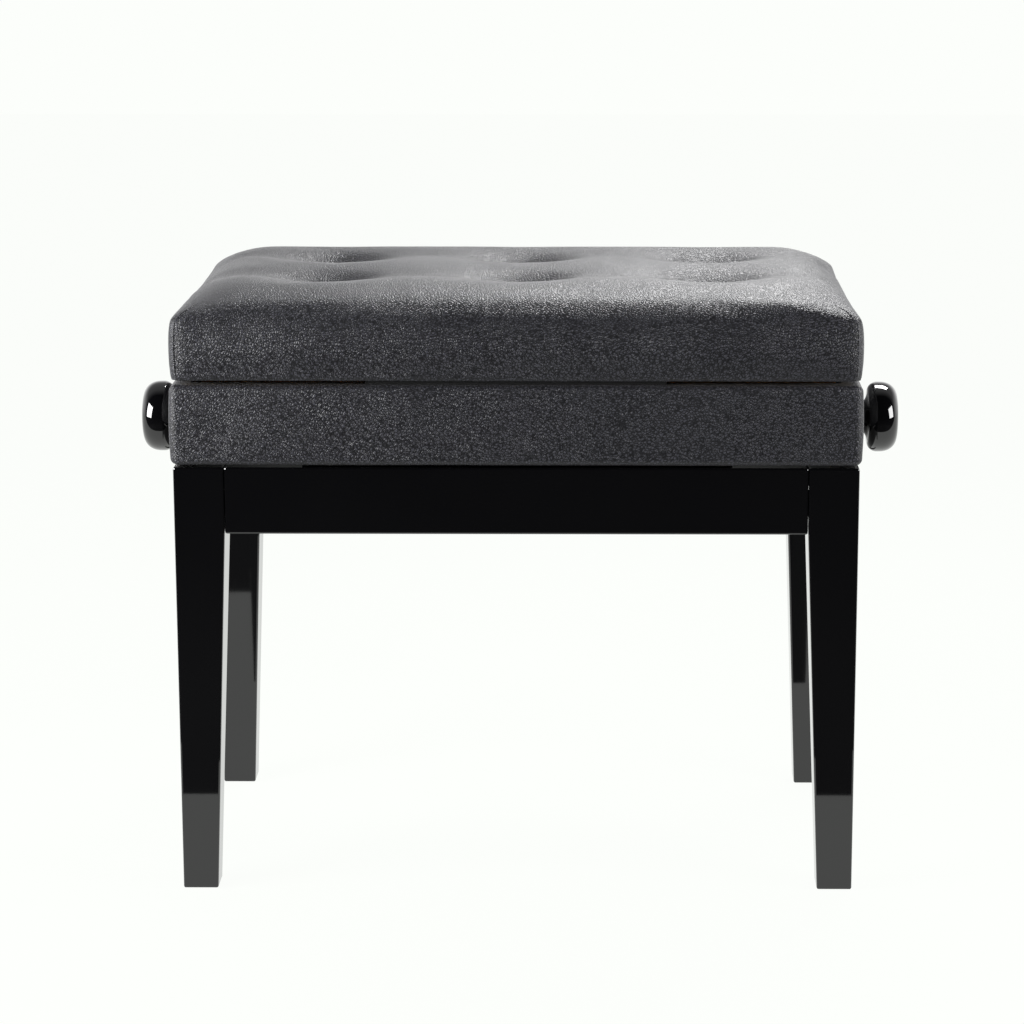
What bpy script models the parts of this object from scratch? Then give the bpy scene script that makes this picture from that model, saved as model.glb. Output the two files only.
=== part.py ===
"""Height-adjustable piano bench with a tufted, hinged lid over a storage box.

A frame of four tapered legs carries two scissor linkages. A screw with a right-hand and a
left-hand half runs under the storage box from knob to knob. Turning either knob draws its two
nuts together, which stands the scissors up and lifts the box, the lid and the knobs as one.

Frame: metres, +Z up, X along the width, -Y to the front, origin on the floor under the middle.
"""

import math

import bmesh
import bpy
from mathutils import Matrix, Vector

# --- Driving sizes -------------------------------------------------------------------------
GAP = 0.0003  # between pieces that touch

FRAME_WIDTH = 0.550
FRAME_DEPTH = 0.324
FRAME_TOP = 0.3545
LEG_SIDE = 0.0405
LEG_FOOT_SIDE = 0.0286
APRON_HEIGHT = 0.0545
APRON_THICKNESS = 0.018
APRON_SETBACK = 0.0005
WOOD_EDGE = 0.0015

GLIDE_RADIUS = 0.009
GLIDE_DEPTH = 0.003
GLIDE_PROUD = 0.001

BRACKET_THICKNESS = 0.002
BRACKET_HEIGHT = 0.020
BRACKET_FLANGE = 0.016
BRACKET_CLEAR_OF_LEG = 0.0045
BOLT_RADIUS = 0.004
BOLT_LENGTH = 0.030
BOLT_HEAD_RADIUS = 0.0075
BOLT_HEAD_HEIGHT = 0.0055

ARM_LENGTH = 0.300  # between the end pivots
ARM_WIDTH = 0.014
ARM_THICKNESS = 0.003
ARM_SPACING = 0.001  # between the two arms of a pair
AXLE_RADIUS = 0.004
LOWER_PIVOT_Z = 0.316
SLOT_TRAVEL = 0.002  # play along the arm at the nut pivot
ROLLER_RADIUS = 0.007
ROLLER_PLAY = 0.0009
RAIL_WALL = 0.002
RAIL_DEPTH = 0.012
RAIL_LENGTH = 0.350  # upper rails

SCREW_RADIUS = 0.0057
SCREW_Z = 0.367
BORE_PLAY = 0.0003
NUT_WALL = 0.0013  # steel left over and under the screw
NUT_BLOCK = (0.020, 0.028, 2 * (SCREW_RADIUS + NUT_WALL))

BAND_PROUD_X = 0.0027  # past each side of the frame
BAND_PROUD_Y = 0.004
BAND_WIDTH = FRAME_WIDTH + 2 * BAND_PROUD_X
BAND_DEPTH = FRAME_DEPTH + 2 * BAND_PROUD_Y
BAND_BOTTOM = 0.357
BAND_TOP = 0.4213
BAND_PADDING = 0.0049
BAND_EDGE = 0.0044
WALL_THICKNESS = 0.012
FLOOR_THICKNESS = 0.006
FLOOR_OVER_SCREW = 0.0028

KNOB_RADIUS = 0.02975
KNOB_REACH = 0.045  # past each side of the frame
KNOB_TIP_X = FRAME_WIDTH / 2 + KNOB_REACH
KNOB_NECK_RADIUS = 0.0105
KNOB_BORE_DEPTH = 0.024
BUSH_RADIUS = 0.0075
BUSH_FLANGE_RADIUS = 0.0095
BUSH_FLANGE = 0.0025
KNOB_END_PLAY = 0.001

LID_GAP = 0.004  # between the box and the closed lid
BOARD_THICKNESS = 0.012
CUSHION_INSET_X = 0.0017  # in from each end of the band
CUSHION_PROUD_Y = 0.001  # past the band at front and back
CUSHION_WIDTH = BAND_WIDTH - 2 * CUSHION_INSET_X
CUSHION_DEPTH = BAND_DEPTH + 2 * CUSHION_PROUD_Y
CUSHION_OVER_BOARD = 0.008
CUSHION_EDGE_HEIGHT = 0.0615
CUSHION_CROWN = 0.0105
CUSHION_SHOULDER = 0.026
CUSHION_CORNER = 0.012
TUFT_COLUMNS = (-0.159, 0.0, 0.159)
TUFT_ROWS = (-0.057, 0.057)
TUFT_DEPTH = 0.016
TUFT_MOUTH_RADIUS = 0.016
BUTTON_RADIUS = 0.008
BUTTON_HEIGHT = 0.0035

HINGE_LENGTH = 0.480
HINGE_KNUCKLES = 17
HINGE_KNUCKLE_RADIUS = 0.0017
HINGE_PIN_RADIUS = 0.0009
HINGE_LEAF = 0.0008
HINGE_LEAF_WIDTH = 0.015
HINGE_SETBACK = 0.0012  # of the hinge's axis from the band's back
BUMPER = (0.240, 0.008)

# --- Worked out from them ------------------------------------------------------------------
APRON_BOTTOM = FRAME_TOP - APRON_HEIGHT
APRON_IN_X = FRAME_WIDTH / 2 - APRON_SETBACK - APRON_THICKNESS
APRON_IN_Y = FRAME_DEPTH / 2 - APRON_SETBACK - APRON_THICKNESS
LEG_IN_X = FRAME_WIDTH / 2 - LEG_SIDE
LEG_IN_Y = FRAME_DEPTH / 2 - LEG_SIDE

ARM_RISE = SCREW_Z - LOWER_PIVOT_Z
ARM_ANGLE = math.asin(ARM_RISE / ARM_LENGTH)
HALF_SPAN = ARM_LENGTH / 2 * math.cos(ARM_ANGLE)
CENTRE_Z = (SCREW_Z + LOWER_PIVOT_Z) / 2
RAIL_OUT_Y = LEG_IN_Y - 0.001
RAIL_IN_Y = RAIL_OUT_Y - RAIL_DEPTH
ARM_A_Y = RAIL_IN_Y - 0.0015 - ARM_THICKNESS / 2
ARM_B_Y = ARM_A_Y - ARM_THICKNESS - ARM_SPACING
AXLE_END_Y = RAIL_OUT_Y - RAIL_WALL - 0.001
PIVOT_RADIUS = AXLE_RADIUS + BORE_PLAY

WALL_OUT_X = BAND_WIDTH / 2 - BAND_PADDING - GAP
WALL_OUT_Y = BAND_DEPTH / 2 - BAND_PADDING - GAP
WALL_IN_X = WALL_OUT_X - WALL_THICKNESS
WALL_IN_Y = WALL_OUT_Y - WALL_THICKNESS
FLOOR_BOTTOM = SCREW_Z + SCREW_RADIUS + FLOOR_OVER_SCREW
BUSH_FACE_X = BAND_WIDTH / 2 + GAP + BUSH_FLANGE
KNOB_NECK_X = BUSH_FACE_X + KNOB_END_PLAY

LID_BOTTOM = BAND_TOP + LID_GAP
BOARD_X = CUSHION_WIDTH / 2 - CUSHION_OVER_BOARD
BOARD_Y = CUSHION_DEPTH / 2 - CUSHION_OVER_BOARD
CUSHION_TOP = LID_BOTTOM + CUSHION_EDGE_HEIGHT + CUSHION_CROWN
HINGE_Y = BAND_DEPTH / 2 - HINGE_SETBACK
HINGE_Z = BAND_TOP + LID_GAP / 2


# --- Scene and materials -------------------------------------------------------------------
def clear_scene() -> None:
    for old in list(bpy.data.objects):
        bpy.data.objects.remove(old, do_unlink=True)


def new_collection(name: str) -> bpy.types.Collection:
    collection = bpy.data.collections.new(name)
    bpy.context.scene.collection.children.link(collection)
    return collection


def new_material(name, colour, roughness, metallic=0.0):
    made = bpy.data.materials.new(name)
    made.use_nodes = True
    shader = made.node_tree.nodes["Principled BSDF"]
    shader.inputs["Base Color"].default_value = (*colour, 1.0)
    shader.inputs["Roughness"].default_value = roughness
    shader.inputs["Metallic"].default_value = metallic
    return made


clear_scene()
PARTS = new_collection("piano_bench")
CUTTERS = new_collection("cutters")
LACQUER = new_material("black_lacquer", (0.012, 0.012, 0.014), 0.08)
LEATHER = new_material("dark_grey_leather", (0.055, 0.055, 0.060), 0.45)
PLYWOOD = new_material("birch_plywood", (0.62, 0.47, 0.30), 0.55)
STEEL = new_material("zinc_plated_steel", (0.62, 0.62, 0.63), 0.35, 1.0)
BLACK_STEEL = new_material("black_steel", (0.03, 0.03, 0.03), 0.45, 0.6)
BRASS = new_material("brass", (0.72, 0.55, 0.25), 0.30, 1.0)
NYLON = new_material("black_nylon", (0.03, 0.03, 0.03), 0.50)
FELT = new_material("black_felt", (0.02, 0.02, 0.02), 0.95)


def new_body(name: str, origin) -> bpy.types.Object:
    """An empty on the body's joint axis, which the body's pieces hang on."""
    body = bpy.data.objects.new(name, None)
    body.location = origin
    PARTS.objects.link(body)
    return body


# --- Shapes --------------------------------------------------------------------------------
def box(low, high) -> bmesh.types.BMesh:
    size = Vector(high) - Vector(low)
    bm = bmesh.new()
    bmesh.ops.create_cube(bm, size=1.0)
    bmesh.ops.scale(bm, vec=size, verts=bm.verts)
    bmesh.ops.translate(bm, vec=Vector(low) + size / 2, verts=bm.verts)
    return bm


def rod(radius, start, end, sides=20, end_radius=None) -> bmesh.types.BMesh:
    """A round bar, or a cone where end_radius is given, from start to end."""
    start = Vector(start)
    run = Vector(end) - start
    bm = bmesh.new()
    bmesh.ops.create_cone(
        bm,
        cap_ends=True,
        segments=sides,
        radius1=radius,
        radius2=radius if end_radius is None else end_radius,
        depth=run.length,
    )
    turn = Vector((0, 0, 1)).rotation_difference(run).to_matrix().to_4x4()
    place = Matrix.Translation(start + run / 2) @ turn
    bmesh.ops.transform(bm, matrix=place, verts=bm.verts)
    return bm


def prism(outline, to_space, depth) -> bmesh.types.BMesh:
    """A flat outline of (a, b) points, set in space by to_space and drawn out by depth."""
    bm = bmesh.new()
    face = bm.faces.new([bm.verts.new(to_space(a, b)) for a, b in outline])
    made = bmesh.ops.extrude_face_region(bm, geom=[face])
    moved = [item for item in made["geom"] if isinstance(item, bmesh.types.BMVert)]
    bmesh.ops.translate(bm, vec=Vector(depth), verts=moved)
    bmesh.ops.recalc_face_normals(bm, faces=bm.faces)
    return bm


def stadium(half_length, radius, points_per_end=9):
    """The outline of a bar with round ends, its end centres at +-half_length."""
    outline = []
    for side in (1, -1):
        for step in range(points_per_end):
            angle = math.pi * (step / (points_per_end - 1) - 0.5)
            along = side * (half_length + radius * math.cos(angle))
            outline.append((along, side * radius * math.sin(angle)))
    return outline


# --- Nodes ---------------------------------------------------------------------------------
def add_node(name, bm, material, body, smooth=False) -> bpy.types.Object:
    """Turns a bmesh in bench coordinates into a named piece that hangs on its body."""
    bmesh.ops.translate(bm, vec=-body.location, verts=bm.verts)
    mesh = bpy.data.meshes.new(name)
    bm.to_mesh(mesh)
    bm.free()
    mesh.materials.append(material)
    if smooth:
        mesh.shade_smooth()
        mesh.set_sharp_from_angle(angle=math.radians(35))
    piece = bpy.data.objects.new(name, mesh)
    PARTS.objects.link(piece)
    piece.parent = body
    return piece


def boolean(piece, bm, label, operation) -> None:
    mesh = bpy.data.meshes.new(label)
    bm.to_mesh(mesh)
    bm.free()
    tool = bpy.data.objects.new(f"{piece.name}_{label}", mesh)
    tool.hide_render = True
    tool.display_type = "WIRE"
    CUTTERS.objects.link(tool)
    modifier = piece.modifiers.new(label, "BOOLEAN")
    modifier.operation = operation
    modifier.object = tool


def cut(piece, bm, label) -> None:
    boolean(piece, bm, label, "DIFFERENCE")


def join(piece, bm, label) -> None:
    boolean(piece, bm, label, "UNION")


def round_edges(piece, width, segments=2) -> None:
    modifier = piece.modifiers.new("rounded_edges", "BEVEL")
    modifier.width = width
    modifier.segments = segments
    modifier.limit_method = "ANGLE"
    modifier.angle_limit = math.radians(40)


def add_turned(name, profile, closed, material, body, along, steps=32):
    """A turned piece: profile holds (radius, distance out from the bench's middle) points.

    along is 1 for the piece on the +X side and -1 for the one on the -X side.
    """
    bm = bmesh.new()
    points = [bm.verts.new((radius, 0, out)) for radius, out in profile]
    for first, second in zip(points, points[1:]):
        bm.edges.new((first, second))
    if closed:
        bm.edges.new((points[-1], points[0]))
    mesh = bpy.data.meshes.new(name)
    bm.to_mesh(mesh)
    bm.free()
    mesh.materials.append(material)
    piece = bpy.data.objects.new(name, mesh)
    PARTS.objects.link(piece)
    piece.parent = body
    piece.location = Vector((0, 0, SCREW_Z)) - body.location
    piece.rotation_euler = (0, along * math.pi / 2, 0)
    turn = piece.modifiers.new("turned", "SCREW")
    turn.steps = steps
    turn.render_steps = steps
    turn.use_merge_vertices = True
    turn.merge_threshold = 0.00001
    turn.use_smooth_shade = True
    return piece


# --- Leg frame -----------------------------------------------------------------------------
CORNERS = {
    "front_left": (-1, -1),
    "front_right": (1, -1),
    "rear_left": (-1, 1),
    "rear_right": (1, 1),
}


def leg_mesh(side_x, side_y) -> bmesh.types.BMesh:
    """A square leg whose two inner faces taper from the apron's lower edge to the foot."""
    high = (FRAME_WIDTH / 2, FRAME_DEPTH / 2, FRAME_TOP)
    bm = box((LEG_IN_X, LEG_IN_Y, GLIDE_PROUD), high)
    bmesh.ops.bisect_plane(
        bm, geom=bm.verts[:] + bm.edges[:] + bm.faces[:], plane_co=(0, 0, APRON_BOTTOM), plane_no=(0, 0, 1)
    )
    for point in bm.verts:
        if point.co.z > APRON_BOTTOM - 0.001:
            continue
        point.co.x = max(point.co.x, FRAME_WIDTH / 2 - LEG_FOOT_SIDE)
        point.co.y = max(point.co.y, FRAME_DEPTH / 2 - LEG_FOOT_SIDE)
    bmesh.ops.scale(bm, vec=(side_x, side_y, 1), verts=bm.verts)
    bmesh.ops.recalc_face_normals(bm, faces=bm.faces)
    return bm


def bracket_outline():
    """The plan of a corner bracket at +X +Y, and the middle of its slanted face."""
    line = LEG_IN_X + LEG_IN_Y - BRACKET_CLEAR_OF_LEG * math.sqrt(2)
    inner_line = line - BRACKET_THICKNESS * math.sqrt(2)
    x_out, y_out = APRON_IN_X - GAP, APRON_IN_Y - GAP
    x_in, y_in = x_out - BRACKET_THICKNESS, y_out - BRACKET_THICKNESS
    outline = (
        (x_out, line - x_out - BRACKET_FLANGE),
        (x_out, line - x_out),
        (line - y_out, y_out),
        (line - y_out - BRACKET_FLANGE, y_out),
        (line - y_out - BRACKET_FLANGE, y_in),
        (inner_line - y_in, y_in),
        (x_in, inner_line - x_in),
        (x_in, line - x_out - BRACKET_FLANGE),
    )
    return outline, ((x_out + line - y_out) / 2, (line - x_out + y_out) / 2)


def add_corner(corner, side_x, side_y, body) -> None:
    """One leg with its glide, and the bracket and bolt that hold it to the aprons."""
    foot_x = side_x * (FRAME_WIDTH / 2 - LEG_FOOT_SIDE / 2)
    foot_y = side_y * (FRAME_DEPTH / 2 - LEG_FOOT_SIDE / 2)
    bracket_top = FRAME_TOP - 0.0035
    bracket_bottom = bracket_top - BRACKET_HEIGHT
    outline, middle = bracket_outline()
    face = Vector((side_x * middle[0], side_y * middle[1], (bracket_top + bracket_bottom) / 2))
    out = Vector((side_x, side_y, 0)).normalized()
    tip = face + out * (BOLT_LENGTH - BRACKET_THICKNESS)

    leg = add_node(f"leg_{corner}", leg_mesh(side_x, side_y), LACQUER, body)
    round_edges(leg, WOOD_EDGE)
    recess_top = GLIDE_DEPTH + GAP
    cut(leg, rod(GLIDE_RADIUS + GAP, (foot_x, foot_y, -0.010), (foot_x, foot_y, recess_top)), "glide_recess")
    cut(leg, rod(BOLT_RADIUS + GAP, face, tip + out * GAP, 16), "bolt_hole")

    glide = rod(GLIDE_RADIUS, (foot_x, foot_y, 0), (foot_x, foot_y, GLIDE_DEPTH))
    add_node(f"foot_glide_{corner}", glide, NYLON, body, smooth=True)

    plate = prism(
        outline, lambda a, b: (side_x * a, side_y * b, bracket_bottom), (0, 0, BRACKET_HEIGHT)
    )
    bracket = add_node(f"corner_bracket_{corner}", plate, STEEL, body)
    cut(bracket, rod(BOLT_RADIUS + GAP, face - out * 0.006, face + out * 0.006, 16), "bolt_hole")

    head_top = face - out * (BRACKET_THICKNESS + GAP)
    head = rod(BOLT_HEAD_RADIUS, head_top - out * BOLT_HEAD_HEIGHT, head_top, 6)
    bolt = add_node(f"leg_bolt_{corner}", head, STEEL, body)
    join(bolt, rod(BOLT_RADIUS, head_top - out * BOLT_HEAD_HEIGHT / 2, tip, 16), "shank")


def channel(side_y, middle_z, half_slot, top, half_length) -> bmesh.types.BMesh:
    """A steel channel along X whose slot faces the middle of the bench."""
    bottom = middle_z - half_slot - RAIL_WALL
    outline = (
        (RAIL_IN_Y, bottom),
        (RAIL_OUT_Y, bottom),
        (RAIL_OUT_Y, top),
        (RAIL_IN_Y, top),
        (RAIL_IN_Y, middle_z + half_slot),
        (RAIL_OUT_Y - RAIL_WALL, middle_z + half_slot),
        (RAIL_OUT_Y - RAIL_WALL, middle_z - half_slot),
        (RAIL_IN_Y, middle_z - half_slot),
    )
    return prism(outline, lambda a, b: (-half_length, side_y * a, b), (2 * half_length, 0, 0))


def add_leg_frame(body) -> None:
    for corner, (side_x, side_y) in CORNERS.items():
        add_corner(corner, side_x, side_y, body)

    for end, side in (("front", -1), ("rear", 1)):
        low_y, high_y = sorted((side * APRON_IN_Y, side * (FRAME_DEPTH / 2 - APRON_SETBACK)))
        reach = LEG_IN_X - GAP
        board = box((-reach, low_y, APRON_BOTTOM), (reach, high_y, FRAME_TOP))
        round_edges(add_node(f"apron_{end}", board, LACQUER, body), WOOD_EDGE)
        half_slot = ROLLER_RADIUS + ROLLER_PLAY
        top = LOWER_PIVOT_Z + half_slot + RAIL_WALL
        rail = channel(side, LOWER_PIVOT_Z, half_slot, top, APRON_IN_X - GAP)
        add_node(f"lower_rail_{end}", rail, BLACK_STEEL, body)

    for end, side in (("left", -1), ("right", 1)):
        low_x, high_x = sorted((side * APRON_IN_X, side * (FRAME_WIDTH / 2 - APRON_SETBACK)))
        reach = LEG_IN_Y - GAP
        board = box((low_x, -reach, APRON_BOTTOM), (high_x, reach, FRAME_TOP))
        round_edges(add_node(f"apron_{end}", board, LACQUER, body), WOOD_EDGE)


# --- Scissor lift --------------------------------------------------------------------------
def along_y(radius, x, z, low_y, high_y, sides=20) -> bmesh.types.BMesh:
    return rod(radius, (x, low_y, z), (x, high_y, z), sides)


def add_arm(name, lean, middle_y, body) -> None:
    """A flat bar crossing the centre axle. lean is 1 where its upper end is at +X."""

    def to_space(a, b):
        along = a * math.cos(ARM_ANGLE) - b * math.sin(ARM_ANGLE)
        up = a * math.sin(ARM_ANGLE) + b * math.cos(ARM_ANGLE)
        return (lean * along, middle_y - ARM_THICKNESS / 2, CENTRE_Z + up)

    outline = stadium(ARM_LENGTH / 2, ARM_WIDTH / 2)
    arm = add_node(name, prism(outline, to_space, (0, ARM_THICKNESS, 0)), BLACK_STEEL, body)
    low_y, high_y = middle_y - 0.004, middle_y + 0.004
    cut(arm, along_y(PIVOT_RADIUS, 0, CENTRE_Z, low_y, high_y), "centre_hole")
    cut(arm, along_y(PIVOT_RADIUS, -lean * HALF_SPAN, LOWER_PIVOT_Z, low_y, high_y), "lower_hole")
    slot_middle = ARM_LENGTH / 2 - SLOT_TRAVEL / 2
    slot = [(slot_middle + a, b) for a, b in stadium(SLOT_TRAVEL / 2, AXLE_RADIUS + 0.0005)]
    tool = prism(slot, to_space, (0, 0.008, 0))
    bmesh.ops.translate(tool, vec=(0, -0.0025, 0), verts=tool.verts)
    cut(arm, tool, "nut_slot")


def add_scissor(letter, lean, middle_y, body) -> None:
    """A front and a rear arm, joined at the lower end by an axle with a roller on each end."""
    for end, side in (("front", -1), ("rear", 1)):
        add_arm(f"scissor_arm_{letter}_{end}", lean, side * middle_y, body)
        inner, outer = RAIL_IN_Y + 0.001, AXLE_END_Y - 0.0005
        low_y, high_y = sorted((side * inner, side * outer))
        tyre = along_y(ROLLER_RADIUS, -lean * HALF_SPAN, LOWER_PIVOT_Z, low_y, high_y, 24)
        roller = add_node(f"roller_{letter}_{end}", tyre, NYLON, body)
        bore = along_y(PIVOT_RADIUS, -lean * HALF_SPAN, LOWER_PIVOT_Z, low_y - 0.002, high_y + 0.002)
        cut(roller, bore, "bore")
    bar = along_y(AXLE_RADIUS, -lean * HALF_SPAN, LOWER_PIVOT_Z, -AXLE_END_Y, AXLE_END_Y)
    add_node(f"lower_axle_{letter}", bar, STEEL, body, smooth=True)


def add_nut(end, side, body) -> None:
    """A threaded block on a cross bar, whose ends slide in the upper rails."""
    size_x, size_y, size_z = NUT_BLOCK
    x = side * HALF_SPAN
    low = (x - size_x / 2, -size_y / 2, SCREW_Z - size_z / 2)
    high = (x + size_x / 2, size_y / 2, SCREW_Z + size_z / 2)
    nut = add_node(f"nut_bar_{end}", box(low, high), STEEL, body)
    join(nut, along_y(AXLE_RADIUS, x, SCREW_Z, -AXLE_END_Y, AXLE_END_Y), "cross_bar")
    reach = size_x / 2 + 0.002
    hole = rod(SCREW_RADIUS + BORE_PLAY, (x - reach, 0, SCREW_Z), (x + reach, 0, SCREW_Z), 24)
    cut(nut, hole, "screw_hole")


# --- Drive screw and knobs -----------------------------------------------------------------
def knob_profile():
    """(radius, distance out) from the tip down the outside to the neck and up the bore."""
    face_radius, dome, rim_start, rim_end = 0.016, 0.0009, 0.016, 0.018
    profile = [(0.0, 0.0), (face_radius / 2, dome / 4), (face_radius, dome)]
    for step in range(1, 9):
        angle = math.pi / 2 * step / 8
        across = math.sin(angle) ** (2 / 2.3)
        down = math.cos(angle) ** (2 / 2.3)
        radius = face_radius + (KNOB_RADIUS - face_radius) * across
        profile.append((radius, rim_start - (rim_start - dome) * down))
    back = 0.008
    for step in range(5):
        angle = math.pi / 2 * step / 4
        profile.append((KNOB_RADIUS - back + back * math.cos(angle), rim_end + back * math.sin(angle)))
    sweep = 0.009
    for step in range(1, 5):
        angle = math.pi / 2 * step / 4
        hollow = (KNOB_RADIUS - back - KNOB_NECK_RADIUS) * (1 - math.sin(angle))
        profile.append((KNOB_NECK_RADIUS + hollow, rim_end + back + sweep * (1 - math.cos(angle))))
    bore = SCREW_RADIUS + BORE_PLAY
    outside = [(radius, KNOB_TIP_X - depth) for radius, depth in profile]
    neck = [(KNOB_NECK_RADIUS, KNOB_NECK_X), (bore, KNOB_NECK_X)]
    bore_end = KNOB_NECK_X + KNOB_BORE_DEPTH
    return outside + neck + [(bore, bore_end), (0.0, bore_end)]


def add_drive(body) -> None:
    end = KNOB_NECK_X + KNOB_BORE_DEPTH - GAP
    screw = rod(SCREW_RADIUS, (-end, 0, SCREW_Z), (end, 0, SCREW_Z), 24)
    add_node("drive_screw", screw, STEEL, body, smooth=True)
    add_turned("knob_left", knob_profile(), False, LACQUER, body, -1, 36)
    add_turned("knob_right", knob_profile(), False, LACQUER, body, 1, 36)


# --- Storage box ---------------------------------------------------------------------------
def add_storage_box(body) -> None:
    bush_hole = BUSH_RADIUS + GAP
    for end, side in (("front", -1), ("rear", 1)):
        low_y, high_y = sorted((side * WALL_IN_Y, side * WALL_OUT_Y))
        wall = box((-WALL_OUT_X, low_y, BAND_BOTTOM), (WALL_OUT_X, high_y, BAND_TOP))
        add_node(f"box_wall_{end}", wall, PLYWOOD, body)
        top = FLOOR_BOTTOM - GAP
        rail = channel(side, SCREW_Z, AXLE_RADIUS + 0.0005, top, RAIL_LENGTH / 2)
        add_node(f"upper_rail_{end}", rail, BLACK_STEEL, body)

    bore = SCREW_RADIUS + BORE_PLAY
    bush_profile = (
        (BUSH_FLANGE_RADIUS, BUSH_FACE_X),
        (BUSH_FLANGE_RADIUS, BUSH_FACE_X - BUSH_FLANGE),
        (BUSH_RADIUS, BUSH_FACE_X - BUSH_FLANGE),
        (BUSH_RADIUS, WALL_IN_X),
        (bore, WALL_IN_X),
        (bore, BUSH_FACE_X),
    )
    for end, side in (("left", -1), ("right", 1)):
        low_x, high_x = sorted((side * WALL_IN_X, side * WALL_OUT_X))
        reach = WALL_IN_Y - GAP
        wall = add_node(
            f"box_wall_{end}", box((low_x, -reach, BAND_BOTTOM), (high_x, reach, BAND_TOP)), PLYWOOD, body
        )
        hole = rod(bush_hole, (low_x - 0.002, 0, SCREW_Z), (high_x + 0.002, 0, SCREW_Z), 24)
        cut(wall, hole, "bush_hole")
        add_turned(f"screw_bush_{end}", bush_profile, True, NYLON, body, side, 24)

    reach_x, reach_y = WALL_IN_X - GAP, WALL_IN_Y - GAP
    floor = box((-reach_x, -reach_y, FLOOR_BOTTOM), (reach_x, reach_y, FLOOR_BOTTOM + FLOOR_THICKNESS))
    add_node("storage_floor", floor, PLYWOOD, body)

    half_x, half_y = BAND_WIDTH / 2, BAND_DEPTH / 2
    band = add_node(
        "box_cover", box((-half_x, -half_y, BAND_BOTTOM), (half_x, half_y, BAND_TOP)), LEATHER, body
    )
    round_edges(band, BAND_EDGE, 3)
    low = (-WALL_OUT_X - GAP, -WALL_OUT_Y - GAP, BAND_BOTTOM - 0.010)
    high = (WALL_OUT_X + GAP, WALL_OUT_Y + GAP, BAND_TOP + 0.010)
    cut(band, box(low, high), "box_inside")
    through = half_x + 0.005
    cut(band, rod(bush_hole, (-through, 0, SCREW_Z), (through, 0, SCREW_Z), 24), "bush_holes")

    length, width = BUMPER
    middle_y = -(WALL_IN_Y + WALL_OUT_Y) / 2
    strip = box(
        (-length / 2, middle_y - width / 2, BAND_TOP + GAP),
        (length / 2, middle_y + width / 2, LID_BOTTOM - GAP),
    )
    add_node("lid_bumper", strip, FELT, body)


# --- Hinge ---------------------------------------------------------------------------------
def add_hinge_leaf(name, first, up, body) -> None:
    """A leaf with every second knuckle. up is 1 for the lid's leaf, above the axis."""
    near = HINGE_Y - HINGE_KNUCKLE_RADIUS - GAP
    far = HINGE_Y - HINGE_KNUCKLE_RADIUS - HINGE_LEAF_WIDTH
    outer = HINGE_KNUCKLE_RADIUS - 0.0001
    low_z, high_z = sorted((HINGE_Z + up * outer, HINGE_Z + up * (outer - HINGE_LEAF)))
    half = HINGE_LENGTH / 2
    plate = box((-half, far, low_z), (half, near, high_z))
    leaf = add_node(name, plate, BRASS, body)

    pitch = HINGE_LENGTH / HINGE_KNUCKLES
    tabs = bmesh.new()
    knuckles = bmesh.new()
    for index in range(first, HINGE_KNUCKLES, 2):
        start = -half + index * pitch + GAP / 2
        end = start + pitch - GAP
        tab = box((start, near - 0.001, low_z), (end, HINGE_Y, high_z))
        knuckle = rod(HINGE_KNUCKLE_RADIUS, (start, HINGE_Y, HINGE_Z), (end, HINGE_Y, HINGE_Z), 12)
        for part, whole in ((tab, tabs), (knuckle, knuckles)):
            mesh = bpy.data.meshes.new("piece")
            part.to_mesh(mesh)
            part.free()
            whole.from_mesh(mesh)
            bpy.data.meshes.remove(mesh)
    join(leaf, tabs, "tabs")
    join(leaf, knuckles, "knuckles")
    reach = half + 0.005
    hole = rod(HINGE_PIN_RADIUS + GAP, (-reach, HINGE_Y, HINGE_Z), (reach, HINGE_Y, HINGE_Z), 12)
    cut(leaf, hole, "pin_hole")


def add_hinge(box_body, lid_body) -> None:
    add_hinge_leaf("hinge_leaf_box", 0, -1, box_body)
    add_hinge_leaf("hinge_leaf_lid", 1, 1, lid_body)
    half = HINGE_LENGTH / 2
    pin = rod(HINGE_PIN_RADIUS, (-half, HINGE_Y, HINGE_Z), (half, HINGE_Y, HINGE_Z), 12)
    add_node("hinge_pin", pin, STEEL, box_body, smooth=True)


# --- Lid -----------------------------------------------------------------------------------
def cushion_mesh() -> bmesh.types.BMesh:
    """A cushion with upright sides, round shoulders and corners and a crowned top."""
    half_x, half_y = CUSHION_WIDTH / 2, CUSHION_DEPTH / 2
    foot = 0.004

    def spread(value):
        """Crowds the rows of points towards the edges, where the shape turns."""
        return 1.5 * value - 0.5 * value**3

    def inset(height):
        over = height - (CUSHION_EDGE_HEIGHT - CUSHION_SHOULDER)
        under = foot - height
        if over > 0:
            return CUSHION_SHOULDER - math.sqrt(max(CUSHION_SHOULDER**2 - over**2, 0))
        if under > 0:
            return foot - math.sqrt(foot**2 - under**2)
        return 0.0

    bm = bmesh.new()
    bmesh.ops.create_cube(bm, size=2.0)
    bmesh.ops.subdivide_edges(bm, edges=bm.edges[:], cuts=11, use_grid_fill=True)
    for point in bm.verts:
        u, v, w = (spread(value) for value in point.co)
        height = (w + 1) / 2 * CUSHION_EDGE_HEIGHT
        x, y = u * half_x, v * half_y
        over_x = max(abs(x) - (half_x - CUSHION_CORNER), 0)
        over_y = max(abs(y) - (half_y - CUSHION_CORNER), 0)
        reach = math.hypot(over_x, over_y)
        if over_x and over_y:
            shrink = max(over_x, over_y) / reach
            x = math.copysign(half_x - CUSHION_CORNER + over_x * shrink, x)
            y = math.copysign(half_y - CUSHION_CORNER + over_y * shrink, y)
        x *= (half_x - inset(height)) / half_x
        y *= (half_y - inset(height)) / half_y
        crown = CUSHION_CROWN * (1 - u * u) * (1 - v * v) if w > 0.999 else 0.0
        point.co = (x, y, LID_BOTTOM + height + crown)
    return bm


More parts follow.
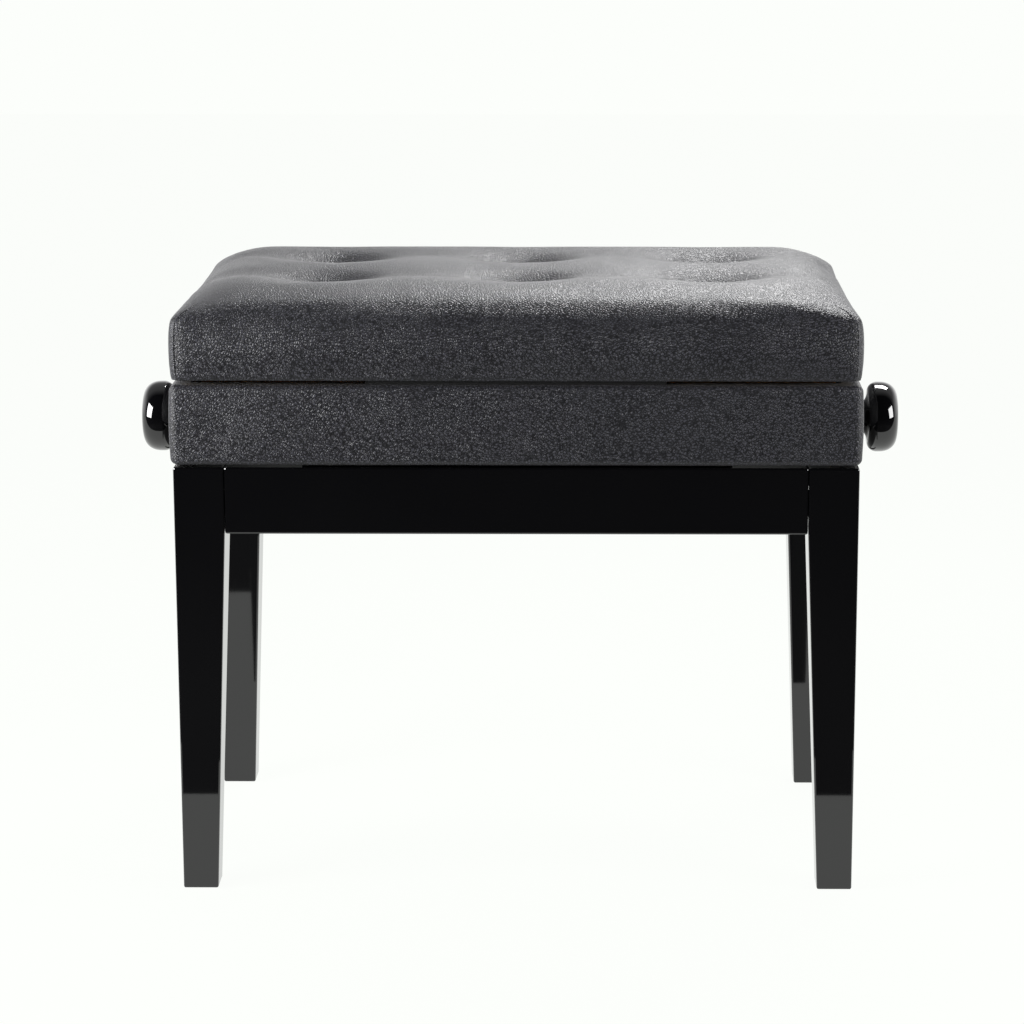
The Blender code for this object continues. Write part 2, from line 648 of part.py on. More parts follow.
def add_lid(body) -> None:
    board_top = LID_BOTTOM + BOARD_THICKNESS
    cushion = add_node("seat_cushion", cushion_mesh(), LEATHER, body, smooth=True)
    pocket = box((-BOARD_X, -BOARD_Y, LID_BOTTOM - 0.010), (BOARD_X, BOARD_Y, board_top + GAP))
    cut(cushion, pocket, "board_pocket")
    reach_x, reach_y = BOARD_X - GAP, BOARD_Y - GAP
    board = box((-reach_x, -reach_y, LID_BOTTOM), (reach_x, reach_y, board_top))
    add_node("lid_board", board, PLYWOOD, body)

    tuft_floor = LID_BOTTOM + CUSHION_EDGE_HEIGHT + CUSHION_CROWN - TUFT_DEPTH
    over_top = CUSHION_TOP + 0.001
    columns = zip(("left", "middle", "right"), TUFT_COLUMNS)
    for column, x in columns:
        for row, y in zip(("front", "rear"), TUFT_ROWS):
            tuft = rod(BUTTON_RADIUS + 0.001, (x, y, tuft_floor), (x, y, over_top), 20, TUFT_MOUTH_RADIUS)
            cut(cushion, tuft, f"tuft_{row}_{column}")
            seat = tuft_floor + GAP
            disc = rod(BUTTON_RADIUS, (x, y, seat), (x, y, seat + BUTTON_HEIGHT), 20)
            button = add_node(f"tuft_button_{row}_{column}", disc, LEATHER, body)
            round_edges(button, 0.0012, 2)


# --- Bench ---------------------------------------------------------------------------------
def main() -> None:
    frame_body = new_body("leg_frame", (0, 0, 0))
    box_body = new_body("seat_box", (0, 0, BAND_BOTTOM))
    drive_body = new_body("drive", (0, 0, SCREW_Z))
    lid_body = new_body("lid", (0, HINGE_Y, HINGE_Z))
    centre_body = new_body("scissor_centre", (0, 0, CENTRE_Z))

    add_leg_frame(frame_body)
    add_scissor("a", 1, ARM_A_Y, new_body("scissor_a", (0, 0, CENTRE_Z)))
    add_scissor("b", -1, ARM_B_Y, new_body("scissor_b", (0, 0, CENTRE_Z)))
    axle_end = ARM_A_Y + ARM_THICKNESS / 2 + 0.0015
    axle = along_y(AXLE_RADIUS, 0, CENTRE_Z, -axle_end, axle_end)
    add_node("centre_axle", axle, STEEL, centre_body, smooth=True)
    for end, side in (("left", -1), ("right", 1)):
        add_nut(end, side, new_body(f"nut_{end}", (side * HALF_SPAN, 0, SCREW_Z)))
    add_drive(drive_body)
    add_storage_box(box_body)
    add_hinge(box_body, lid_body)
    add_lid(lid_body)


main()
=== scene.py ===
"""Looks of the height-adjustable piano bench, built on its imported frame.

Black polyester-lacquered legs, aprons and knobs; a padded band and a deep-buttoned lid in dark
grey pebbled leather; a steel scissor lift, a threaded drive screw and a birch storage box.
"""

import logging
import math
from dataclasses import dataclass, field
from enum import Enum
from typing import Iterable, Sequence

import bmesh
import bpy
from bmesh.types import BMEdge, BMesh, BMVert
from bpy.types import Material, Node, NodeSocket, NodeTree, Object
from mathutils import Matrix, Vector, noise
from mathutils.bvhtree import BVHTree


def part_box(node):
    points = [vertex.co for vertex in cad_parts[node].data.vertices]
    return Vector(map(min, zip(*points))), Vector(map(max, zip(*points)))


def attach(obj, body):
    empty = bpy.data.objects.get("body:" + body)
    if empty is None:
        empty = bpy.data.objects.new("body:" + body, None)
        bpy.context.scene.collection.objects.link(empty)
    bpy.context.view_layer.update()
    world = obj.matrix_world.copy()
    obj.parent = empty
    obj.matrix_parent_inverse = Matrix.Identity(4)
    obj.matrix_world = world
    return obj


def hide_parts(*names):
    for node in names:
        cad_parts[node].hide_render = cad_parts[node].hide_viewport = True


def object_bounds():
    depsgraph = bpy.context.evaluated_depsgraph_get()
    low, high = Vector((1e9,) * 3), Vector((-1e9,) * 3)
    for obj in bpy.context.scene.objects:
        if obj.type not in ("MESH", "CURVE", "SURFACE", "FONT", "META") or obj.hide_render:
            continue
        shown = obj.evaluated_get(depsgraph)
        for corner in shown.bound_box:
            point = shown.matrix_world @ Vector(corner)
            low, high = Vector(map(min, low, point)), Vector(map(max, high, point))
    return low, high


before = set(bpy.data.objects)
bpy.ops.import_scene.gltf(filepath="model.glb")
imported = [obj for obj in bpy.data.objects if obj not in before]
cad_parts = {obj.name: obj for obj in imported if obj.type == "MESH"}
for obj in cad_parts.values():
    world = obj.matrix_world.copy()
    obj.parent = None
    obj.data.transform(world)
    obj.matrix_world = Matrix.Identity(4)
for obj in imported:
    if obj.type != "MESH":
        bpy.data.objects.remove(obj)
CAD_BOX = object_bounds()
LOG = logging.getLogger("piano_bench")
MM = 0.001
BUTTON_LIFT = 0.0004
TUFTS = [f"tuft_button_{row}_{column}" for row in ("front", "rear") for column in ("left", "middle", "right")]


# --- Colour and node helpers ---------------------------------------------------------------
def srgb(code: str) -> tuple[float, float, float, float]:
    """Turns an sRGB hex colour into the linear colour that the shaders take.

    Args:
        code: Six hex digits, such as "3a3b40".

    Returns:
        Linear red, green and blue, with an alpha of 1.
    """
    parts = (int(code[start : start + 2], 16) / 255 for start in (0, 2, 4))
    linear = [p / 12.92 if p <= 0.04045 else ((p + 0.055) / 1.055) ** 2.4 for p in parts]
    return (linear[0], linear[1], linear[2], 1.0)


def wire(tree: NodeTree, node: Node, inputs: dict) -> None:
    """Links or sets inputs of a node.

    Args:
        tree: The node's tree.
        node: The node.
        inputs: Input name or number to an output socket, or to a plain value.
    """
    for key, value in inputs.items():
        if isinstance(value, NodeSocket):
            tree.links.new(value, node.inputs[key])
        else:
            node.inputs[key].default_value = value


def add(tree: NodeTree, kind: str, inputs: dict | None = None, **settings) -> Node:
    """Adds a node with its settings and links.

    Args:
        tree: The node tree to add it to.
        kind: The node's type without the ShaderNode prefix.
        inputs: Input name or number to an output socket, or to a plain value.
        **settings: Properties of the node itself.

    Returns:
        The new node.
    """
    node = tree.nodes.new(f"ShaderNode{kind}")
    for name, value in settings.items():
        setattr(node, name, value)
    wire(tree, node, inputs or {})
    return node


def noise_of(tree: NodeTree, place: NodeSocket, scale: float, detail: float) -> NodeSocket:
    """Adds a noise pattern.

    Args:
        tree: The node tree to add it to.
        place: The coordinates that it is drawn on.
        scale: Its features per metre.
        detail: Its octaves.

    Returns:
        The strength of the noise.
    """
    return add(tree, "TexNoise", {"Vector": place, "Scale": scale, "Detail": detail}).outputs["Fac"]


def mix(tree: NodeTree, factor: NodeSocket, first: object, second: object) -> NodeSocket:
    """Adds a blend of two colours.

    Args:
        tree: The node tree to add it to.
        factor: 0 for the first colour and 1 for the second.
        first: A colour or a colour socket.
        second: A colour or a colour socket.

    Returns:
        The blended colour.
    """
    return add(tree, "Mix", {"Factor": factor, "A": first, "B": second}, data_type="RGBA").outputs[2]


def bump_of(tree: NodeTree, height: NodeSocket, strength: float, depth_mm: float) -> NodeSocket:
    """Adds a bump.

    Args:
        tree: The node tree to add it to.
        height: The height pattern, from 0 to 1.
        strength: The share of the bump that shows.
        depth_mm: The depth of the pattern in millimetres.

    Returns:
        The bumped normal.
    """
    return add(tree, "Bump", {"Height": height, "Strength": strength, "Distance": depth_mm * MM}).outputs[0]


def ramp(tree: NodeTree, value: NodeSocket, stops: Sequence[tuple[float, tuple]]) -> NodeSocket:
    """Adds a colour ramp.

    Args:
        tree: The node tree to add it to.
        value: What it takes its place on the ramp from.
        stops: (position, linear colour) pairs, lowest first.

    Returns:
        The ramp's colour.
    """
    node = add(tree, "ValToRGB", {"Fac": value})
    elements = node.color_ramp.elements
    while len(elements) < len(stops):
        elements.new(0.5)
    for element, (position, colour) in zip(elements, stops):
        element.position = position
        element.color = colour
    return node.outputs["Color"]


def grey(level: float) -> tuple[float, float, float, float]:
    """A grey of one level, for ramps that carry a number."""
    return (level, level, level, 1.0)


def new_shader(name: str) -> tuple[Material, NodeTree, Node]:
    """Makes an empty material with a Principled shader.

    Args:
        name: The material's name.

    Returns:
        The material, its tree and its Principled node.
    """
    material = bpy.data.materials.new(name)
    material.use_nodes = True
    return material, material.node_tree, material.node_tree.nodes["Principled BSDF"]


# --- Finishes ------------------------------------------------------------------------------
@dataclass(frozen=True)
class PebbledLeather:
    """Corrected-grain cowhide, pigmented and embossed with a pebble plate, then satin topcoated.

    The plate presses rounded pebbles with fine creases between them, which break up the highlights
    on the shoulders; the topcoat leaves a soft satin sheen. The creases are also painted near-black
    in the base colour, as painted shade. The pebbles are drawn coarser than real ones, which are
    about 1 mm across, so that they show from a few metres away.
    """

    name: str = "pebbled_leather"
    face: str = "2f2f35"
    # painted shade: the near-black colour that the creases between the pebbles are painted
    painted_crease_shade: str = "060607"
    worn: str = "36363d"
    pebble_mm: float = 1.75
    pebble_stretch: float = 0.55
    lay_degrees: tuple[float, float] = (38.0, 30.0)
    swirl_scale: float = 15.0
    swirl_reach: float = 0.014
    # how much of the painted crease shade is mixed into the base colour
    crease_shade_share: float = 0.95
    pore_height: float = 0.06
    roughness: float = 0.40
    bump_mm: float = 0.25

    def material(self) -> Material:
        """Builds the leather's node material."""
        made, tree, shader = new_shader(self.name)
        place = add(tree, "TexCoord").outputs["Object"]
        swirl = add(tree, "TexNoise", {"Vector": place, "Scale": self.swirl_scale, "Detail": 1.0})
        bent = add(tree, "VectorMath", {0: swirl.outputs["Color"], 3: self.swirl_reach}, operation="SCALE")
        moved = add(tree, "VectorMath", {0: place, 1: bent.outputs[0]}, operation="ADD").outputs[0]
        lay = (0.0, *(math.radians(angle) for angle in self.lay_degrees))
        turned = add(tree, "Mapping", {"Vector": moved, "Rotation": lay}).outputs[0]
        drawn = add(tree, "Mapping", {"Vector": turned, "Scale": (self.pebble_stretch, 1.0, 1.0)}).outputs[0]
        grid = {"Vector": drawn, "Scale": 1000 / self.pebble_mm, "Randomness": 1.0}
        cells = add(tree, "TexVoronoi", grid, feature="DISTANCE_TO_EDGE")
        levels = ((0.0, grey(0.0)), (0.11, grey(0.25)), (0.29, grey(1.0)))
        pebble = ramp(tree, cells.outputs["Distance"], levels)
        fine = noise_of(tree, place, 1500.0, 3.0)
        pores = {0: fine, 1: self.pore_height, 2: pebble}
        height = add(tree, "Math", pores, operation="MULTIPLY_ADD").outputs[0]
        soft = noise_of(tree, place, 22.0, 4.0)
        tone = mix(tree, soft, srgb(self.face), srgb(self.worn))
        # painted shade: darkens the base colour in the creases between the pebbles
        crease_shade_mask = add(tree, "Math", {0: 1.0, 1: pebble}, operation="SUBTRACT", use_clamp=True).outputs[0]
        crease_shade_mask = add(tree, "Math", {0: crease_shade_mask, 1: self.crease_shade_share}, operation="MULTIPLY").outputs[0]
        rough = {"Value": soft, 3: self.roughness - 0.05, 4: self.roughness + 0.07}
        looks = {
            "Base Color": mix(tree, crease_shade_mask, tone, srgb(self.painted_crease_shade)),
            "Roughness": add(tree, "MapRange", rough).outputs[0],
            "Normal": bump_of(tree, height, 1.0, self.bump_mm),
            "IOR": 1.5,
            "Specular IOR Level": 0.42,
            "Sheen Weight": 0.04,
            "Sheen Roughness": 0.4,
        }
        wire(tree, shader, looks)
        return made


@dataclass(frozen=True)
class PianoLacquer:
    """Black polyester lacquer, sprayed thick, sanded flat and buffed to a mirror.

    The film is as clear as glass over a black ground: almost no colour of its own, sharp
    reflections, and a trace of buffing haze that shows only in the highlights.
    """

    name: str = "piano_lacquer"
    colour: str = "040405"
    haze: str = "070708"
    roughness: float = 0.045
    ripple_mm: float = 0.02
    buffing: tuple[float, float, float] = (900.0, 900.0, 14.0)

    def material(self) -> Material:
        """Builds the lacquer's node material."""
        made, tree, shader = new_shader(self.name)
        place = add(tree, "TexCoord").outputs["Object"]
        cloud = noise_of(tree, place, 9.0, 3.0)
        stretched = add(tree, "Mapping", {"Vector": place, "Scale": self.buffing}).outputs[0]
        swirl = noise_of(tree, stretched, 1.0, 2.0)
        mixed = add(tree, "Math", {0: cloud, 1: swirl}, operation="MULTIPLY").outputs[0]
        rough = {"Value": mixed, 3: self.roughness * 0.7, 4: self.roughness * 1.5}
        looks = {
            "Base Color": mix(tree, cloud, srgb(self.colour), srgb(self.haze)),
            "Roughness": add(tree, "MapRange", rough).outputs[0],
            "Normal": bump_of(tree, noise_of(tree, place, 40.0, 1.0), 0.25, self.ripple_mm),
            "IOR": 1.56,
            "Coat Weight": 0.35,
            "Coat Roughness": 0.03,
        }
        wire(tree, shader, looks)
        return made


class PlyCut(Enum):
    """Which way the grain of a plywood piece runs, as the stretch of its pattern."""

    ALONG_X = (5.0, 90.0, 90.0)
    ALONG_Y = (90.0, 5.0, 90.0)


@dataclass(frozen=True)
class BirchPly:
    """Birch plywood, rotary-peeled veneers sanded and sealed clear.

    Pale, even face with faint long figure. What hangs under the storage floor is coloured
    near-black, so that no pale wood shows in the gap over the leg frame.
    """

    cut: PlyCut = PlyCut.ALONG_X
    black_below: float = 0.0
    below_colour: str = "0a0a0b"
    light: str = "dcc093"
    dark: str = "b98f5c"
    fibre_mm: float = 0.06

    def material(self) -> Material:
        """Builds the plywood's node material."""
        made, tree, shader = new_shader(f"birch_ply_{self.cut.name.lower()}")
        place = add(tree, "TexCoord").outputs["Object"]
        long = add(tree, "Mapping", {"Vector": place, "Scale": self.cut.value}).outputs[0]
        figure = add(
            tree, "TexNoise", {"Vector": long, "Scale": 1.0, "Detail": 6.0, "Distortion": 0.6}
        ).outputs["Fac"]
        fibre = noise_of(tree, long, 14.0, 3.0)
        mixed = add(tree, "Math", {0: fibre, 1: 0.35, 2: figure}, operation="MULTIPLY_ADD").outputs[0]
        colour = ramp(tree, mixed, ((0.45, srgb(self.light)), (0.95, srgb(self.dark))))
        height = add(tree, "SeparateXYZ", {0: place}).outputs["Z"]
        # everything below the storage floor is coloured near-black
        under = add(tree, "Math", {0: height, 1: self.black_below}, operation="LESS_THAN").outputs[0]
        looks = {
            "Base Color": mix(tree, under, colour, srgb(self.below_colour)),
            "Normal": bump_of(tree, fibre, 0.4, self.fibre_mm),
            "Roughness": 0.5,
        }
        wire(tree, shader, looks)
        return made


@dataclass(frozen=True)
class PlatedSteel:
    """Drawn mild steel with bright zinc plate: cool grey, fine drawing lines, cloudy passivation."""

    name: str = "zinc_plated_steel"
    light: str = "c3c5c8"
    dark: str = "8f9296"
    roughness: float = 0.28
    line_mm: float = 0.25
    line_depth_mm: float = 0.02

    def material(self) -> Material:
        """Builds the plate's node material."""
        made, tree, shader = new_shader(self.name)
        place = add(tree, "TexCoord").outputs["Object"]
        cloud = noise_of(tree, place, 70.0, 4.0)
        colour = ramp(tree, cloud, ((0.35, srgb(self.dark)), (0.65, srgb(self.light))))
        lines = add(tree, "Mapping", {"Vector": place, "Scale": (12.0, 12.0, 1000 / self.line_mm)}).outputs[0]
        drawn = noise_of(tree, lines, 1.0, 2.0)
        rough = {"Value": drawn, 3: self.roughness - 0.08, 4: self.roughness + 0.12}
        looks = {
            "Base Color": colour,
            "Roughness": add(tree, "MapRange", rough).outputs[0],
            "Normal": bump_of(tree, drawn, 0.3, self.line_depth_mm),
            "Metallic": 1.0,
        }
        wire(tree, shader, looks)
        return made


@dataclass(frozen=True)
class Speckled:
    """A plain coloured finish whose surface is all fine texture: paint, moulding or felt."""

    name: str
    colour: str
    second: str
    roughness: float
    grain_mm: float
    bump_mm: float
    metallic: float = 0.0
    sheen: float = 0.0

    def material(self) -> Material:
        """Builds the finish's node material."""
        made, tree, shader = new_shader(self.name)
        place = add(tree, "TexCoord").outputs["Object"]
        grain = noise_of(tree, place, 1000 / self.grain_mm, 3.0)
        cloud = noise_of(tree, place, 18.0, 3.0)
        mixed = add(tree, "Math", {0: grain, 1: cloud}, operation="MULTIPLY").outputs[0]
        colour = ramp(tree, mixed, ((0.12, srgb(self.second)), (0.42, srgb(self.colour))))
        rough = {"Value": cloud, 3: self.roughness * 0.85, 4: min(self.roughness * 1.15, 1.0)}
        looks = {
            "Base Color": colour,
            "Roughness": add(tree, "MapRange", rough).outputs[0],
            "Normal": bump_of(tree, grain, 0.6, self.bump_mm),
            "Metallic": self.metallic,
            "Sheen Weight": self.sheen,
        }
        wire(tree, shader, looks)
        return made


# --- Mesh helpers --------------------------------------------------------------------------
def make_object(name: str, bm: BMesh, material: Material, angle: float = 40.0) -> Object:
    """Turns a bmesh in the frame's coordinates into a smooth-shaded object.

    Args:
        name: The object's name.
        bm: The mesh, which is freed.
        material: Its finish.
        angle: Edges sharper than this many degrees stay sharp.

    Returns:
        The new object, at the origin.
    """
    mesh = bpy.data.meshes.new(name)
    bm.to_mesh(mesh)
    bm.free()
    mesh.materials.append(material)
    mesh.shade_smooth()
    mesh.set_sharp_from_angle(angle=math.radians(angle))
    piece = bpy.data.objects.new(name, mesh)
    bpy.context.scene.collection.objects.link(piece)
    return piece


def settle(piece: Object, body: str, stands_for: Iterable[str] = ()) -> None:
    """Makes a finished piece ride on its body and hides what it stands for.

    Args:
        piece: The finished piece.
        body: The CAD body that it moves with.
        stands_for: CAD nodes that the piece replaces.
    """
    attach(piece, body)
    nodes = tuple(stands_for)
    if nodes:
        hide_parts(*nodes)
    LOG.info("%s rides on %s: %d faces", piece.name, body, len(piece.data.polygons))


def spin_about_x(bm: BMesh, profile: Sequence[tuple[float, float]], axis_z: float, steps: int) -> None:
    """Spins an (x, radius) profile a full turn about the line y = 0, z = axis_z.

    Args:
        bm: The mesh to add to.
        profile: Points from one end of the piece to the other.
        axis_z: Height of the axis.
        steps: Segments round the turn.
    """
    points = [bm.verts.new((x, 0.0, axis_z + radius)) for x, radius in profile]
    edges = [bm.edges.new(pair) for pair in zip(points, points[1:])]
    bmesh.ops.spin(
        bm,
        geom=points + edges,
        cent=(0.0, 0.0, axis_z),
        axis=(1.0, 0.0, 0.0),
        angle=math.tau,
        steps=steps,
        use_merge=True,
    )
    bmesh.ops.remove_doubles(bm, verts=bm.verts[:], dist=0.00001)
    bmesh.ops.recalc_face_normals(bm, faces=bm.faces[:])


def smooth_step(low: float, high: float, value: float) -> float:
    """Rises smoothly from 0 at low to 1 at high."""
    share = min(max((value - low) / (high - low), 0.0), 1.0)
    return share * share * (3 - 2 * share)


def rounded_loop(
    bm: BMesh, half_x: float, half_y: float, corner: float, z: float, counts: tuple[int, int, int]
) -> list[BMEdge]:
    """Adds a closed rounded rectangle of edges.

    Args:
        bm: The mesh to add to.
        half_x: Half the width.
        half_y: Half the depth.
        corner: The corner radius.
        z: The loop's height.
        counts: Segments along a long side, along a short side, and round a corner.

    Returns:
        The loop's edges, in order.
    """
    long_count, short_count, corner_count = counts
    points: list[Vector] = []
    corners = ((1, 1, 0.0), (-1, 1, 90.0), (-1, -1, 180.0), (1, -1, 270.0))
    for index, (side_x, side_y, start) in enumerate(corners):
        centre = Vector((side_x * (half_x - corner), side_y * (half_y - corner), z))
        for step in range(corner_count + 1):
            angle = math.radians(start + 90.0 * step / corner_count)
            points.append(centre + corner * Vector((math.cos(angle), math.sin(angle), 0.0)))
        next_x, next_y, next_start = corners[(index + 1) % 4]
        turn = math.radians(next_start)
        target = Vector((next_x * (half_x - corner), next_y * (half_y - corner), z))
        target += corner * Vector((math.cos(turn), math.sin(turn), 0.0))
        count = long_count if index % 2 == 0 else short_count
        here = points[-1]
        points += [here.lerp(target, step / count) for step in range(1, count)]
    verts = [bm.verts.new(point) for point in points]
    return [bm.edges.new((verts[i], verts[(i + 1) % len(verts)])) for i in range(len(verts))]


def bridge_ring(bm: BMesh, loops: Sequence[list[BMEdge]]) -> None:
    """Bridges each loop to the next, and the last to the first.

    Args:
        bm: The mesh that the loops are in.
        loops: Loops of edges, in order round the cross-section.
    """
    for first, second in zip(loops, [*loops[1:], loops[0]]):
        bmesh.ops.bridge_loops(bm, edges=first + second)
    bmesh.ops.recalc_face_normals(bm, faces=bm.faces[:])


def evaluated_copy(source: Object) -> bpy.types.Mesh:
    """The object's mesh with its modifiers applied."""
    graph = bpy.context.evaluated_depsgraph_get()
    return bpy.data.meshes.new_from_object(source.evaluated_get(graph), depsgraph=graph)


# --- Upholstery ----------------------------------------------------------------------------
@dataclass
class SeatCushion:
    """The buttoned lid cushion: leather pulled over foam on the lid board.

    Its sides stand upright, its shoulders roll over quickly into long slopes up to a crown, and
    each of six buttons sits in a broad pull, an oval bowl and a small funnel, with the leather
    gathered in faint rays round it. The underside is flat, with a pocket over the lid board.
    """

    edge_height: float = 0.0530
    edge_radius: float = 0.007
    corner_radius: float = 0.007
    crown: float = 0.0192
    end_slope: float = 0.057
    front_slope: float = 0.086
    side_bulge: float = 0.0007
    row_valley: float = 0.0022
    row_reach: float = 0.030
    pull_radius: float = 0.066
    pull_depth: float = 0.0050
    bowl_radius: tuple[float, float] = (0.050, 0.034)
    bowl_depth: float = 0.0118
    funnel_radius: float = 0.015
    funnel_depth: float = 0.0025
    gathers: int = 8
    gather_depth: float = 0.00035
    gather_turn: float = 21.0
    gather_from: tuple[float, float] = (0.006, 0.014)
    gather_to: tuple[float, float] = (0.018, 0.042)
    foot_radius: float = 0.004
    outset: tuple[float, float] = (0.0008, -0.0002)
    voxel: float = 0.005
    board_grip: float = 0.010
    button_grip: tuple[float, float] = (0.009, 0.016)
    frames: int = 20
    swell_cap: float = 0.003
    foot: float = 0.0003
    foot_from: float = 0.0050
    foot_to: float = 0.0095
    pocket_gap: float = 0.0004
    tufts: list[Vector] = field(default_factory=list)

    def __post_init__(self) -> None:
        """Reads the cushion's place and its buttons from the frame."""
        self.low, self.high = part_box("seat_cushion")
        self.board_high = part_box("lid_board")[1]
        for name in TUFTS:
            low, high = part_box(name)
            self.tufts.append((low + high) / 2)

    def rise(self, x: float, y: float) -> float:
        """Finds the height of the crowned top above the edge, bowls left out.

        Args:
            x: Place along the cushion.
            y: Place across it.

        Returns:
            The height in metres.
        """
        end = max(1 - (self.high.x - abs(x)) / self.end_slope, 0.0)
        front = max(1 - (self.high.y - abs(y)) / self.front_slope, 0.0)
        row = max(1 - (abs(abs(y) - abs(self.tufts[0].y)) / self.row_reach) ** 2, 0.0) ** 2
        valley = self.row_valley * row * (1 - end**2)
        return self.crown * (1 - end**2) * (1 - front**2.2) - valley

    def draw_in(self, x: float, y: float) -> float:
        """Finds how far the buttons pull the leather down.

        Args:
            x: Place along the cushion.
            y: Place across it.

        Returns:
            The depth in metres.
        """
        total = 0.0
        for tuft in self.tufts:
            off_x, off_y = x - tuft.x, y - tuft.y
            reach = math.hypot(off_x, off_y)
            wide = math.hypot(off_x / self.bowl_radius[0], off_y / self.bowl_radius[1])
            if wide < 1:
                total += self.bowl_depth * (1 - wide**2) ** 1.6
            broad = reach / self.pull_radius
            if broad < 1:
                total += self.pull_depth * (1 - broad**2) ** 2
            near = reach / self.funnel_radius
            if near < 1:
                total += self.funnel_depth * (1 - near**2) ** 1.5
            angle = math.atan2(off_y, off_x)
            gather = smooth_step(*self.gather_from, reach) * (1 - smooth_step(*self.gather_to, reach))
            total += self.gather_depth * gather * math.cos(self.gathers * angle + self.gather_turn * tuft.x)
        return total

    def inset(self, height: float) -> float:
        """Finds how far the side stands in from the cushion's outline.

        Args:
            height: Height above the cushion's base.

        Returns:
            The distance in metres.
        """
        lean = self.side_bulge * (2 * height / self.edge_height - 1) ** 2
        over = height - (self.edge_height - self.edge_radius)
        under = self.foot_radius - height
        if over > 0:
            return lean + self.edge_radius - math.sqrt(max(self.edge_radius**2 - over**2, 0.0))
        if under > 0:
            return lean + self.foot_radius - math.sqrt(max(self.foot_radius**2 - under**2, 0.0))
        return lean

    def place(self, point: Vector) -> Vector:
        """Moves a point of the 2 m cube onto the cushion.

        Args:
            point: The point on the cube.

        Returns:
            The same point on the cushion's resting shape.
        """
        u, v, w = (1.5 * value - 0.5 * value**3 for value in point)
        half_x, half_y = self.high.x + self.outset[0], self.high.y + self.outset[1]
        height = (w + 1) / 2 * self.edge_height
        x, y = u * half_x, v * half_y
        over_x = max(abs(x) - (half_x - self.corner_radius), 0.0)
        over_y = max(abs(y) - (half_y - self.corner_radius), 0.0)
        if over_x and over_y:
            shrink = max(over_x, over_y) / math.hypot(over_x, over_y)
            x = math.copysign(half_x - self.corner_radius + over_x * shrink, x)
            y = math.copysign(half_y - self.corner_radius + over_y * shrink, y)
        x *= (half_x - self.inset(height)) / half_x
        y *= (half_y - self.inset(height)) / half_y
        top = self.rise(x, y) - self.draw_in(x, y) if w > 0.999 else 0.0
        return Vector((x, y, self.low.z + height + top))

    def sculpt(self, leather: Material) -> Object:
        """Makes the resting shape and remeshes it evenly, ready to be inflated.

        Args:
            leather: The cushion's finish.

        Returns:
            The cushion at rest.
        """
        bm = bmesh.new()
        bmesh.ops.create_cube(bm, size=2.0)
        bmesh.ops.subdivide_edges(bm, edges=bm.edges[:], cuts=63, use_grid_fill=True)
        for vert in bm.verts:
            vert.co = self.place(vert.co)
        rough = make_object("cushion_rough", bm, leather)
        remesh = rough.modifiers.new("even", "REMESH")
        remesh.mode = "VOXEL"
        remesh.voxel_size = self.voxel
        mesh = evaluated_copy(rough)
        bpy.data.objects.remove(rough)
        even = bpy.data.objects.new("leather_cushion", mesh)
        bpy.context.scene.collection.objects.link(even)
        return even

    def held(self, point: Vector) -> float:
        """Finds how firmly the board or a button holds the leather.

        Args:
            point: A point of the leather.

        Returns:
            1 where it is held and 0 where it is free.
        """
        if point.z < self.low.z + self.board_grip:
            return 1.0
        near = min(math.hypot(point.x - tuft.x, point.y - tuft.y) for tuft in self.tufts)
        return 1.0 - smooth_step(*self.button_grip, near)

    def inflate(self, piece: Object) -> None:
        """Lets the foam's pressure stretch the leather between what holds it, by cloth simulation.

        Args:
            piece: The cushion at rest, whose points are moved.
        """
        rest = [vert.co.copy() for vert in piece.data.vertices]
        pins = piece.vertex_groups.new(name="held")
        for index, point in enumerate(rest):
            pins.add([index], self.held(point), "REPLACE")
        cloth = piece.modifiers.new("leather", "CLOTH")
        settings = cloth.settings
        settings.quality = 4
        settings.mass = 0.4
        settings.tension_stiffness = 40
        settings.compression_stiffness = 40
        settings.shear_stiffness = 10
        settings.bending_stiffness = 2
        settings.use_pressure = True
        settings.uniform_pressure_force = 4
        settings.vertex_group_mass = pins.name
        settings.effector_weights.gravity = 0
        cloth.point_cache.frame_end = self.frames
        scene = bpy.context.scene
        for number in range(1, self.frames + 1):
            scene.frame_set(number)
        swollen = evaluated_copy(piece)
        piece.modifiers.remove(cloth)
        scene.frame_set(1)
        for vert, home, moved in zip(piece.data.vertices, rest, swollen.vertices):
            step = moved.co - home
            if step.length > self.swell_cap:
                step *= self.swell_cap / step.length
            step.z = min(step.z, self.swell_cap * 0.5)
            vert.co = home + step
        bpy.data.meshes.remove(swollen)
        piece.vertex_groups.clear()

    def finish_surface(self, piece: Object) -> None:
        """Smooths the remesh's steps away, subdivides once, flattens the foot and opens the pocket.

        Args:
            piece: The swollen cushion, which gets a new mesh.
        """
        bm = bmesh.new()
        bm.from_mesh(piece.data)
        for _ in range(3):
            bmesh.ops.smooth_vert(
                bm, verts=bm.verts[:], factor=0.5, use_axis_x=True, use_axis_y=True, use_axis_z=True
            )
        bm.to_mesh(piece.data)
        bm.free()
        finer = piece.modifiers.new("finer", "SUBSURF")
        finer.levels = 1
        finer.render_levels = 1
        mesh = evaluated_copy(piece)
        piece.modifiers.remove(finer)
        bm = bmesh.new()
        bm.from_mesh(mesh)
        stretch = (self.foot_to - self.foot) / (self.foot_to - self.foot_from)
        for vert in bm.verts:
            height = vert.co.z - self.low.z
            if height < self.foot_to:
                vert.co.z = self.low.z + self.foot + max(height - self.foot_from, 0.0) * stretch
        self.open_pocket(bm)
        bm.to_mesh(mesh)
        bm.free()
        piece.data = mesh
        mesh.shade_smooth()

